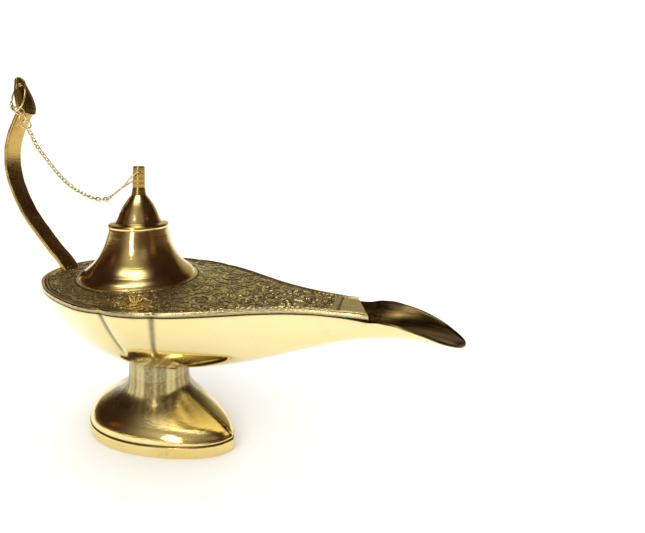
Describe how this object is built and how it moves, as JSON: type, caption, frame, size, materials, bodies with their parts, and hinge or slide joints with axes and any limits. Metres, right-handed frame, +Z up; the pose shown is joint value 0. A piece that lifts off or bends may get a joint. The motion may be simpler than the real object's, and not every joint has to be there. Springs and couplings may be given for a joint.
{
  "type": "brass oil lamp",
  "caption": "Genie-style brass oil lamp: lobed bowl with open spout, engraved cover, bell neck, chained lift-off lid, curved strap handle and pointed pedestal foot.",
  "frame": {"origin": "on the table, under the middle of the lamp's overall box", "axes": "+X towards the spout, +Z up, the lamp's middle plane is XZ"},
  "size_m": [0.1996, 0.0734, 0.1505],
  "materials": {
    "polished_brass": "mirror polished",
    "engraved_brass": "engraved, duller in the recesses",
    "strap_brass": "satin strap, filed edges",
    "turned_brass": "lathe turned",
    "chain_brass": "bright drawn wire",
    "hidden_brass": "as turned",
    "hidden_steel": "plain zinc"
  },
  "bodies": {
    "root": {"bowl": "polished_brass", "top_plate": "engraved_brass", "bell_neck": "polished_brass", "handle": "strap_brass", "foot": "polished_brass", "foot_bolt": "hidden_brass", "foot_washer": "hidden_steel", "foot_nut": "hidden_steel", "tip_ring": "chain_brass", "connector_rings": "chain_brass", "chain_links": "chain_brass"},
    "lid": {"lid_cap": "polished_brass", "finial": "turned_brass", "lid_wire": "chain_brass"}
  },
  "joints": [
    {"name": "lid_lift", "type": "slide", "parent": "root", "child": "lid", "axis": [0, 0, 1], "range_m": [0, 0.03], "deforming": ["chain_links"]}
  ]
}
